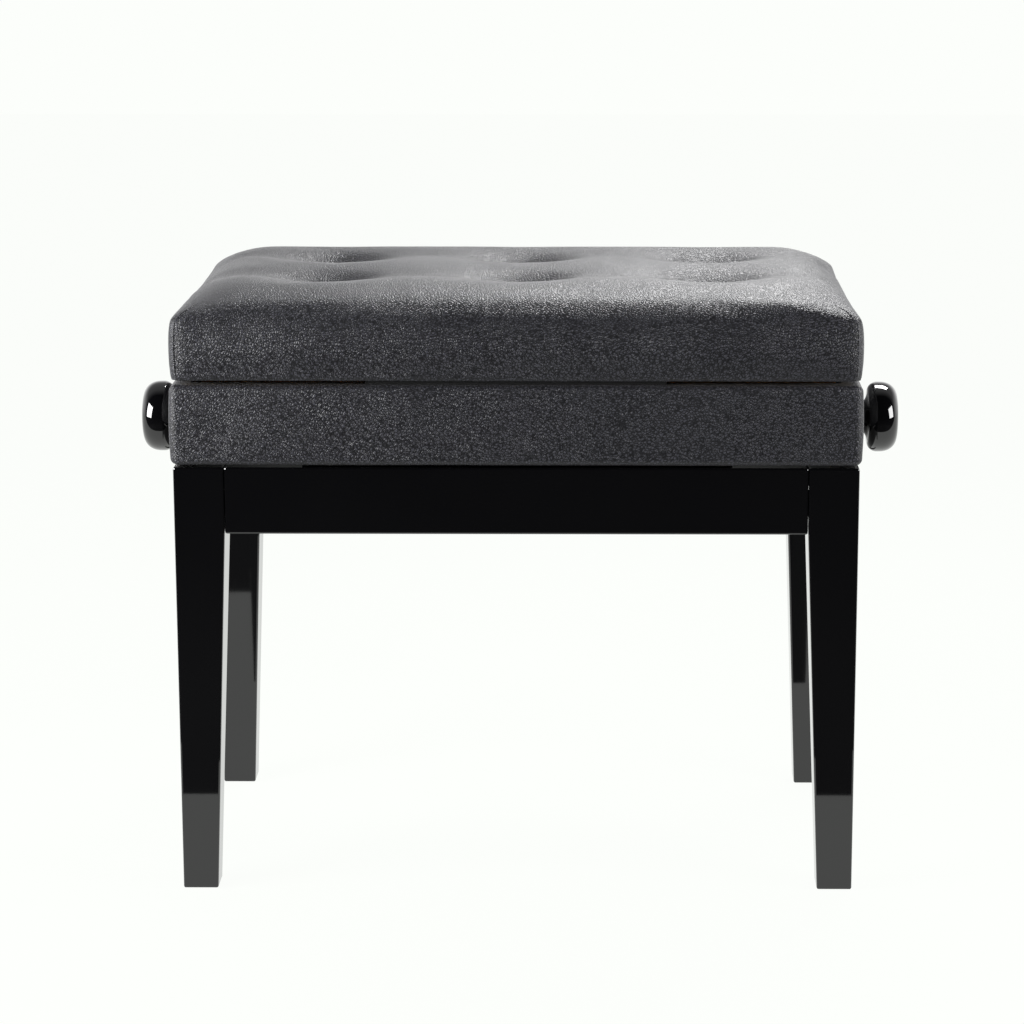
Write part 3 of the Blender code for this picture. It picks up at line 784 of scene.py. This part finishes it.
    def open_pocket(self, bm: BMesh) -> None:
        """Cuts the board's outline into the flat underside and raises a pocket over the board.

        Args:
            bm: The cushion's mesh.
        """
        half = (self.board_high.x + self.pocket_gap, self.board_high.y + self.pocket_gap)
        under = self.low.z + 0.0008
        for axis, reach in enumerate(half):
            for side in (-1, 1):
                normal = Vector((0.0, 0.0, 0.0))
                normal[axis] = side
                faces = [face for face in bm.faces if face.calc_center_median().z < under]
                edges = {edge for face in faces for edge in face.edges}
                verts = {vert for face in faces for vert in face.verts}
                bmesh.ops.bisect_plane(
                    bm, geom=[*faces, *edges, *verts], plane_co=normal * reach, plane_no=normal, dist=0.00005
                )
        inside = []
        for face in bm.faces:
            middle = face.calc_center_median()
            if middle.z < under and abs(middle.x) < half[0] and abs(middle.y) < half[1]:
                inside.append(face)
        bmesh.ops.delete(bm, geom=inside, context="FACES")
        rim = [edge for edge in bm.edges if edge.is_boundary]
        raised = bmesh.ops.extrude_edge_only(bm, edges=rim)["geom"]
        for vert in (item for item in raised if isinstance(item, BMVert)):
            vert.co.z = self.board_high.z + self.pocket_gap
        bmesh.ops.holes_fill(bm, edges=[edge for edge in bm.edges if edge.is_boundary], sides=0)
        bmesh.ops.triangulate(bm, faces=[face for face in bm.faces if len(face.verts) > 4])
        bmesh.ops.recalc_face_normals(bm, faces=bm.faces[:])

    def build(self, leather: Material) -> Object:
        """Args:
            leather: Its finish.

        Returns:
            The finished cushion.
        """
        piece = self.sculpt(leather)
        self.inflate(piece)
        self.finish_surface(piece)
        piece.data.materials.clear()
        piece.data.materials.append(leather)
        settle(piece, "lid", ["seat_cushion"])
        return piece


@dataclass
class CornerFolds:
    """The tucked leather at each corner: a folded lip that climbs the corner and dies away inward."""

    lip_radius: float = 0.0014
    sink: float = 0.35
    from_corner: float = 0.0035
    inward: float = 0.026
    foot: float = 0.003
    climb: float = 0.018
    steps: int = 8
    taper_from: int = 11
    taper: float = 0.85

    def path(self, cushion: SeatCushion, side_x: int, side_y: int) -> list[Vector]:
        """Lists points up the front or rear face beside a corner and over the shoulder.

        Args:
            cushion: The cushion's sizes.
            side_x: 1 for the right end and -1 for the left.
            side_y: 1 for the rear and -1 for the front.

        Returns:
            Points near the surface, from the foot up.
        """
        high = cushion.high
        x = side_x * (high.x - self.from_corner)
        bottom = cushion.low.z + self.foot
        top = cushion.low.z + cushion.edge_height - cushion.edge_radius * 0.6
        points = []
        for step in range(self.steps + 1):
            points.append(Vector((x, side_y * high.y, bottom + (top - bottom) * step / self.steps)))
        for step in range(1, self.steps + 1):
            share = step / self.steps
            inward = self.inward * share
            height = top + self.climb * share**0.6
            points.append(Vector((x - side_x * inward * 0.9, side_y * (high.y - inward * 1.05), height)))
        return points

    def build(self, cushion: SeatCushion, surface: Object, leather: Material) -> None:
        """Lays a lip on the cushion at each of its four corners.

        Args:
            cushion: The cushion's sizes.
            surface: The finished cushion.
            leather: The lips' finish.
        """
        tree = BVHTree.FromPolygons(
            [vert.co for vert in surface.data.vertices], [face.vertices for face in surface.data.polygons]
        )
        for name, side_x, side_y in (
            ("front_left", -1, -1),
            ("front_right", 1, -1),
            ("rear_left", -1, 1),
            ("rear_right", 1, 1),
        ):
            curve = bpy.data.curves.new(f"corner_fold_{name}", "CURVE")
            curve.dimensions = "3D"
            curve.bevel_depth = self.lip_radius
            curve.bevel_resolution = 3
            curve.use_fill_caps = True
            line = curve.splines.new("NURBS")
            path = self.path(cushion, side_x, side_y)
            line.points.add(len(path) - 1)
            for number, (knot, point) in enumerate(zip(line.points, path)):
                place, normal, _, _ = tree.find_nearest(point)
                place = place - normal * self.lip_radius * self.sink
                knot.co = (*place, 1.0)
                past = max(number - self.taper_from, 0)
                knot.radius = 1.0 - self.taper * past / (len(path) - 1 - self.taper_from)
            line.use_endpoint_u = True
            line.order_u = 4
            tube = bpy.data.objects.new("fold_curve", curve)
            bpy.context.scene.collection.objects.link(tube)
            bm = bmesh.new()
            bm.from_mesh(evaluated_copy(tube))
            bmesh.ops.remove_doubles(bm, verts=bm.verts[:], dist=0.00002)
            bpy.data.objects.remove(tube)
            settle(make_object(f"corner_fold_{name}", bm, leather, 60.0), "lid")


@dataclass
class TuftButton:
    """A leather-covered upholstery button, pulled down by its twine."""

    place: Vector
    radius: float
    height: float
    pleats: int = 18
    pleat_depth: float = 0.012

    def build(self, name: str, leather: Material) -> None:
        """Domes a disc, rolls its rim under and settles it on the lid.

        Args:
            name: The CAD node that it stands for.
            leather: Its finish.
        """
        bm = bmesh.new()
        bmesh.ops.create_uvsphere(bm, u_segments=40, v_segments=24, radius=1.0)
        for vert in bm.verts:
            level = vert.co.z
            up = max(level, 0.0) ** 0.8 if level > 0 else -((-level) ** 1.4) * 0.55
            turn = self.pleats * math.atan2(vert.co.y, vert.co.x)
            ripple = 1.0 + self.pleat_depth * math.cos(turn) * max(-level, 0.0)
            wide = self.radius * ripple
            vert.co = Vector((vert.co.x * wide, vert.co.y * wide, up * self.height))
        bmesh.ops.translate(bm, vec=self.place, verts=bm.verts)
        settle(make_object(f"leather_{name}", bm, leather, 70.0), "lid", [name])


@dataclass
class PaddedBand:
    """The storage box's leather band over thin foam, rolled over the walls' top and bottom edges."""

    roll: float = 0.0055
    wrap: float = 0.0123
    tuck: float = 0.010
    leather: float = 0.0003
    corner: float = 0.0068
    bulge: float = 0.0007
    clearance: float = 0.00005
    counts: tuple[int, int, int] = (96, 56, 8)

    def section(self, out: float, top: float, bottom: float) -> list[tuple[float, float]]:
        """Lists the band's cross-section from its top inside edge, outwards and round.

        The loops between the edges keep any two neighbours from bridging across the box. Inner
        faces stand a hair off the walls.

        Args:
            out: How far the outer face stands out from the walls.
            top: Height of the walls' top edge.
            bottom: Height of the walls' bottom edge.

        Returns:
            (outset from the walls, height) pairs.
        """
        over, beneath = top + self.leather, bottom - self.leather
        near, far = top + self.clearance, bottom - self.clearance
        points = [(-self.wrap, over), (-self.wrap / 2, over)]
        for step in range(9):
            angle = math.pi / 2 * step / 8
            reach = out - self.roll + self.roll * math.sin(angle)
            points.append((reach, over - self.roll + self.roll * math.cos(angle)))
        height = top - bottom - 2 * self.roll
        for step in range(1, 12):
            share = step / 12
            points.append((out + self.bulge * math.sin(math.pi * share), top - self.roll - height * share))
        for step in range(9):
            angle = math.pi / 2 * step / 8
            reach = out - self.roll + self.roll * math.cos(angle)
            points.append((reach, beneath + self.roll - self.roll * math.sin(angle)))
        short = self.wrap - 2 * self.leather
        points += [(-short / 2, beneath), (-short, beneath), (-short, far), (-short / 2, far - 0.00001)]
        points += [(2 * self.clearance, far), (2 * self.clearance, near)]
        points += [(-self.wrap / 3, near + 0.00001), (-self.wrap / 1.5, near + 0.00002)]
        inner = self.leather - self.wrap
        points += [(inner, near), (inner, top - self.tuck), (-self.wrap, top - self.tuck)]
        return points

    def build(self, leather: Material) -> None:
        """Args:
            leather: Its finish.
        """
        low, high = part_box("box_cover")
        wall_low, wall_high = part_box("box_wall_front")
        wall_x, wall_y = wall_high.x, -wall_low.y
        out = high.x - wall_x - self.bulge
        bm = bmesh.new()
        loops = []
        for outset, z in self.section(out, high.z, low.z):
            corner = max(self.corner + outset - out, 0.0008)
            loops.append(rounded_loop(bm, wall_x + outset, wall_y + outset, corner, z, self.counts))
        bridge_ring(bm, loops)
        for vert in bm.verts:
            point = vert.co
            over = max(abs(point.x) - wall_x, abs(point.y) - wall_y)
            if over < 0.002:
                continue
            soft = noise.noise(point * 17.0) * 0.0005 + noise.noise(point * 55.0) * 0.00015
            if abs(point.x / wall_x) > abs(point.y / wall_y):
                away = Vector((math.copysign(1, point.x), 0.0, 0.0))
            else:
                away = Vector((0.0, math.copysign(1, point.y), 0.0))
            vert.co = point + away * min(soft, 0.0)
        piece = make_object("leather_band", bm, leather, 60.0)
        settle(piece, "seat_box", ["box_cover"])


# --- Turned and threaded pieces ------------------------------------------------------------
@dataclass
class SideKnob:
    """A turned, lacquered knob: a broad, slightly domed face, a full round rim and a waisted neck."""

    side: int
    face_radius: float = 0.016
    dome: float = 0.0009
    rim: tuple[float, float] = (0.016, 0.018)
    back: float = 0.008
    sweep: float = 0.009
    neck_radius: float = 0.0105
    fullness: float = 2.3
    chamfer: float = 0.0006

    def profile(self, radius: float, length: float) -> list[tuple[float, float]]:
        """(depth from the tip, radius) points down the outside.

        Args:
            radius: The knob's largest radius.
            length: From the tip to the neck's end.

        Returns:
            The outline, from the middle of the face to the middle of the neck's end.
        """
        rim_start, rim_end = self.rim
        points = [(self.dome * (share / 6) ** 2, self.face_radius * share / 6) for share in range(7)]
        for step in range(1, 25):
            angle = math.pi / 2 * step / 24
            across = math.sin(angle) ** (2 / self.fullness)
            down = math.cos(angle) ** (2 / self.fullness)
            reach = self.face_radius + (radius - self.face_radius) * across
            points.append((rim_start - (rim_start - self.dome) * down, reach))
        for step in range(13):
            angle = math.pi / 2 * step / 12
            depth = rim_end + self.back * math.sin(angle)
            points.append((depth, radius - self.back + self.back * math.cos(angle)))
        for step in range(1, 13):
            angle = math.pi / 2 * step / 12
            depth = rim_end + self.back + self.sweep * (1 - math.cos(angle))
            hollow = (radius - self.back - self.neck_radius) * (1 - math.sin(angle))
            points.append((depth, self.neck_radius + hollow))
        neck = self.neck_radius
        return points + [(length - self.chamfer, neck), (length, neck - self.chamfer), (length, 0.0)]

    def build(self, lacquer: Material) -> None:
        """Turns the knob and settles it on the drive.

        Args:
            lacquer: Its finish.
        """
        name = "knob_right" if self.side > 0 else "knob_left"
        low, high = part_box(name)
        radius, axis_z = (high.z - low.z) / 2, (high.z + low.z) / 2
        tip = high.x if self.side > 0 else low.x
        outline = self.profile(radius, high.x - low.x)
        bm = bmesh.new()
        spin_about_x(bm, [(tip - self.side * depth, reach) for depth, reach in outline], axis_z, 128)
        settle(make_object(f"turned_{name}", bm, lacquer, 50.0), "drive", [name])


@dataclass
class DriveScrew:
    """The lift's screw: right-hand thread on one side, left-hand on the other, plain ends."""

    pitch: float = 0.00175
    minor: float = 0.0050
    major: float = 0.00585
    steps: int = 16
    thread_ends: tuple[float, float] = (0.112, 0.168)
    ridge: tuple[float, float, float, float] = (0.12, 0.45, 0.57, 0.9)
    slack: float = 0.0002
    chamfer: float = 0.0006

    def add_thread(self, bm: BMesh, side: int, axis_z: float) -> None:
        """Spins one ridge of thread along the screw's half.

        Args:
            bm: The mesh to add to.
            side: 1 for the +X half, which is right-handed, and -1 for the other.
            axis_z: Height of the screw's axis.
        """
        start, end = self.thread_ends
        turns = round((end - start) / self.pitch)
        shares = (0.0, *self.ridge, 1.0)
        radii = (self.minor, self.minor, self.major, self.major, self.minor, self.minor)
        points = [
            bm.verts.new((start + self.pitch * share, 0.0, axis_z + radius))
            for share, radius in zip(shares, radii)
        ]
        edges = [bm.edges.new(pair) for pair in zip(points, points[1:])]
        bmesh.ops.spin(
            bm,
            geom=points + edges,
            cent=(0.0, 0.0, axis_z),
            axis=(1.0, 0.0, 0.0),
            dvec=(self.pitch / self.steps, 0.0, 0.0),
            angle=math.tau * turns,
            steps=self.steps * turns,
            use_merge=False,
        )
        if side < 0:
            fresh = [vert for vert in bm.verts if vert.co.x > start - 0.001]
            bmesh.ops.scale(bm, vec=(-1.0, 1.0, 1.0), verts=fresh)

    def build(self, steel: Material) -> None:
        """Builds the screw with its plain middle and ends.

        Args:
            steel: Its finish.
        """
        low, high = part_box("drive_screw")
        axis_z = (low.z + high.z) / 2
        start, end = self.thread_ends
        whole = bmesh.new()
        self.add_thread(whole, -1, axis_z)
        self.add_thread(whole, 1, axis_z)
        bmesh.ops.remove_doubles(whole, verts=whole.verts[:], dist=0.00002)
        bmesh.ops.recalc_face_normals(whole, faces=whole.faces[:])
        shank = self.major - self.slack
        tip = shank - self.chamfer
        reach = end + self.pitch
        left, right, inner = low.x + self.chamfer, high.x - self.chamfer, start - self.slack
        plain = (
            ((low.x, 0.0), (low.x, tip), (left, shank), (-reach, shank), (-reach, 0.0)),
            ((-inner, 0.0), (-inner, shank), (inner, shank), (inner, 0.0)),
            ((reach, 0.0), (reach, shank), (right, shank), (high.x, tip), (high.x, 0.0)),
            ((-reach, 0.0), (-reach, self.minor), (-start, self.minor), (-start, 0.0)),
            ((start, 0.0), (start, self.minor), (reach, self.minor), (reach, 0.0)),
        )
        for outline in plain:
            part = bmesh.new()
            spin_about_x(part, outline, axis_z, 40)
            mesh = bpy.data.meshes.new("screw_part")
            part.to_mesh(mesh)
            part.free()
            whole.from_mesh(mesh)
            bpy.data.meshes.remove(mesh)
        settle(make_object("threaded_screw", whole, steel, 35.0), "drive", ["drive_screw"])


# --- Carried-over solids -------------------------------------------------------------------
@dataclass
class CarriedPieces:
    """The CAD pieces whose shape is right as it is, each given its own finish."""

    finishes: dict[str, Material]

    def dress(self) -> None:
        """Gives every node the material of the first name that it starts with."""
        for name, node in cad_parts.items():
            for start, material in self.finishes.items():
                if name.startswith(start):
                    node.data.materials.clear()
                    node.data.materials.append(material)
                    LOG.info("%s is dressed in %s", name, material.name)
                    break


# --- Studio --------------------------------------------------------------------------------
@dataclass(frozen=True)
class SoftBox:
    """A rectangular soft light: where it stands, the point it faces, its size and its watts."""

    name: str
    place: tuple[float, float, float]
    aim: tuple[float, float, float]
    size: tuple[float, float]
    power: float

    def build(self) -> None:
        """Adds the light and turns it to its aim."""
        data = bpy.data.lights.new(self.name, "AREA")
        data.shape = "RECTANGLE"
        data.size, data.size_y = self.size
        data.energy = self.power
        light = bpy.data.objects.new(self.name, data)
        light.location = self.place
        light.rotation_euler = (Vector(self.aim) - Vector(self.place)).to_track_quat("-Z", "Y").to_euler()
        bpy.context.scene.collection.objects.link(light)


@dataclass
class Studio:
    """Pale glowing floor, black flag, white surround, three soft boxes and the camera."""

    floor_size: float = 14.0
    white: str = "fcfefb"
    camera_place: tuple[float, float, float] = (0.0568, -2.6277, 0.8555)
    camera_down: float = 12.28
    camera_left: float = 0.464
    lens: float = 110.6
    shift: float = -0.0489
    dark_from: float = 0.25
    floor_glow: float = 0.985
    front_level: float = 0.004
    rear_level: float = 1.35
    turn: tuple[float, float] = (-0.15, 0.25)
    upper_share: float = 0.28
    upper_from: tuple[float, float] = (0.22, 0.60)
    soft_level: float = 0.3
    soft_boxes: tuple[SoftBox, ...] = (
        SoftBox("overhead_box", (0.38, 0.72, 1.40), (0.12, -0.1, 0.45), (0.80, 0.34), 23.0),
        SoftBox("left_box", (-1.05, -0.56, 0.68), (-0.25, -0.15, 0.40), (0.62, 0.62), 26.0),
        SoftBox("right_box", (1.22, -0.60, 0.70), (0.25, -0.15, 0.40), (0.62, 0.60), 16.0),
    )

    def floor(self) -> None:
        """A floor that gives off most of its own light, so that it stays as white as the surround."""
        bm = bmesh.new()
        bmesh.ops.create_grid(bm, x_segments=1, y_segments=1, size=self.floor_size / 2)
        made, tree, shader = new_shader("pale_floor")
        grain = noise_of(tree, add(tree, "TexCoord").outputs["Object"], 3.0, 4.0)
        looks = {
            "Base Color": mix(tree, grain, srgb("1c1d1c"), srgb("222322")),
            "Roughness": 0.9,
            "Specular IOR Level": 0.0,
            "Emission Color": srgb(self.white),
            "Emission Strength": self.floor_glow,
        }
        wire(tree, shader, looks)
        floor = make_object("studio_floor", bm, made)

    def flag(self) -> None:
        """A black flag lying in front of the bench, which only reflections see."""
        bm = bmesh.new()
        bmesh.ops.create_grid(bm, x_segments=1, y_segments=1, size=self.floor_size / 2)
        near = CAD_BOX[0].y - self.dark_from
        bmesh.ops.translate(bm, vec=(0.0, near - self.floor_size / 2, 0.002), verts=bm.verts)
        made, tree, shader = new_shader("black_flag")
        wire(tree, shader, {"Base Color": srgb("060606"), "Roughness": 1.0})
        flag = make_object("black_flag", bm, made)
        flag.visible_camera = False
        flag.visible_diffuse = False
        flag.visible_shadow = False

    def surround(self) -> None:
        """White to the eye and to soft light; reflections see a dark room in front, white behind."""
        world = bpy.data.worlds.new("studio_surround")
        bpy.context.scene.world = world
        world.use_nodes = True
        tree = world.node_tree
        for node in list(tree.nodes):
            tree.nodes.remove(node)
        axes = add(tree, "SeparateXYZ", {0: add(tree, "TexCoord").outputs["Generated"]}).outputs
        (turned_from, turned_to), (fades_from, fades_to) = self.turn, self.upper_from
        behind = {"Value": axes["Y"], 1: turned_from, 2: turned_to, 3: self.front_level, 4: self.rear_level}
        upper = {"Value": axes["Z"], 1: fades_from, 2: fades_to, 3: 1.0, 4: self.upper_share}
        level = {0: add(tree, "MapRange", behind).outputs[0], 1: add(tree, "MapRange", upper).outputs[0]}
        strength = add(tree, "Math", level, operation="MULTIPLY").outputs[0]
        mirrored = add(tree, "Background", {"Color": (1.0, 1.0, 1.0, 1.0), "Strength": strength})
        soft = add(tree, "Background", {"Color": (0.97, 0.98, 1.0, 1.0), "Strength": self.soft_level})
        seen = add(tree, "Background", {"Color": srgb(self.white), "Strength": 1.0})
        path = add(tree, "LightPath").outputs
        lit = {0: path["Is Glossy Ray"], 1: soft.outputs[0], 2: mirrored.outputs[0]}
        shown = {0: path["Is Camera Ray"], 1: add(tree, "MixShader", lit).outputs[0], 2: seen.outputs[0]}
        add(tree, "OutputWorld", {0: add(tree, "MixShader", shown).outputs[0]})

    def camera(self) -> None:
        """A long lens, a little right of the middle and looking gently down."""
        data = bpy.data.cameras.new("camera")
        data.lens = self.lens
        data.sensor_width = 36.0
        data.shift_x = self.shift
        camera = bpy.data.objects.new("camera", data)
        camera.location = self.camera_place
        camera.rotation_euler = (math.radians(90 - self.camera_down), 0.0, math.radians(self.camera_left))
        bpy.context.scene.collection.objects.link(camera)
        bpy.context.scene.camera = camera

    def build(self) -> None:
        """Sets the whole studio up."""
        self.floor()
        self.flag()
        self.surround()
        for box in self.soft_boxes:
            box.build()
        self.camera()
        bpy.context.scene.view_settings.view_transform = "Standard"


# --- Bench ---------------------------------------------------------------------------------
def main() -> None:
    """Builds the studio and every piece of the bench."""
    logging.basicConfig(level=logging.INFO, format="%(message)s")
    Studio().build()

    leather = PebbledLeather().material()
    lacquer = PianoLacquer().material()
    steel = PlatedSteel().material()
    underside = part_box("storage_floor")[0].z + 0.0005
    ply = BirchPly(black_below=underside).material()
    cross_ply = BirchPly(cut=PlyCut.ALONG_Y, black_below=underside).material()
    powder = Speckled("black_powder_coat", "1d1d1f", "121214", 0.5, 0.6, 0.05).material()
    nylon = Speckled("black_nylon", "222224", "19191b", 0.48, 0.35, 0.02).material()
    felt = Speckled("black_felt", "0b0b0c", "040405", 0.95, 0.9, 0.25, sheen=0.1).material()
    brass = Speckled("rolled_brass", "c9a45c", "a5823f", 0.3, 1.2, 0.01, metallic=1.0).material()
    CarriedPieces(
        {
            "leg_bolt": steel,
            "leg_": lacquer,
            "apron_": lacquer,
            "foot_glide": nylon,
            "roller": nylon,
            "screw_bush": nylon,
            "corner_bracket": steel,
            "nut_bar": steel,
            "centre_axle": steel,
            "lower_axle": steel,
            "hinge_pin": steel,
            "hinge_leaf": brass,
            "lower_rail": powder,
            "upper_rail": powder,
            "scissor_arm": powder,
            "lid_bumper": felt,
            "box_wall_left": cross_ply,
            "box_wall_right": cross_ply,
            "box_wall": ply,
            "storage_floor": ply,
            "lid_board": ply,
        }
    ).dress()

    cushion = SeatCushion()
    surface = cushion.build(leather)
    CornerFolds().build(cushion, surface, leather)
    top = BVHTree.FromObject(surface, bpy.context.evaluated_depsgraph_get())
    for name in TUFTS:
        low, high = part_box(name)
        above = Vector(((low.x + high.x) / 2, (low.y + high.y) / 2, high.z + 0.1))
        seat = top.ray_cast(above, Vector((0.0, 0.0, -1.0)))[0] + Vector((0.0, 0.0, BUTTON_LIFT))
        TuftButton(seat, (high.x - low.x) / 2, high.z - low.z).build(name, leather)
    PaddedBand().build(leather)
    for side in (-1, 1):
        SideKnob(side).build(lacquer)
    DriveScrew().build(steel)


if __name__ == "__main__":
    main()
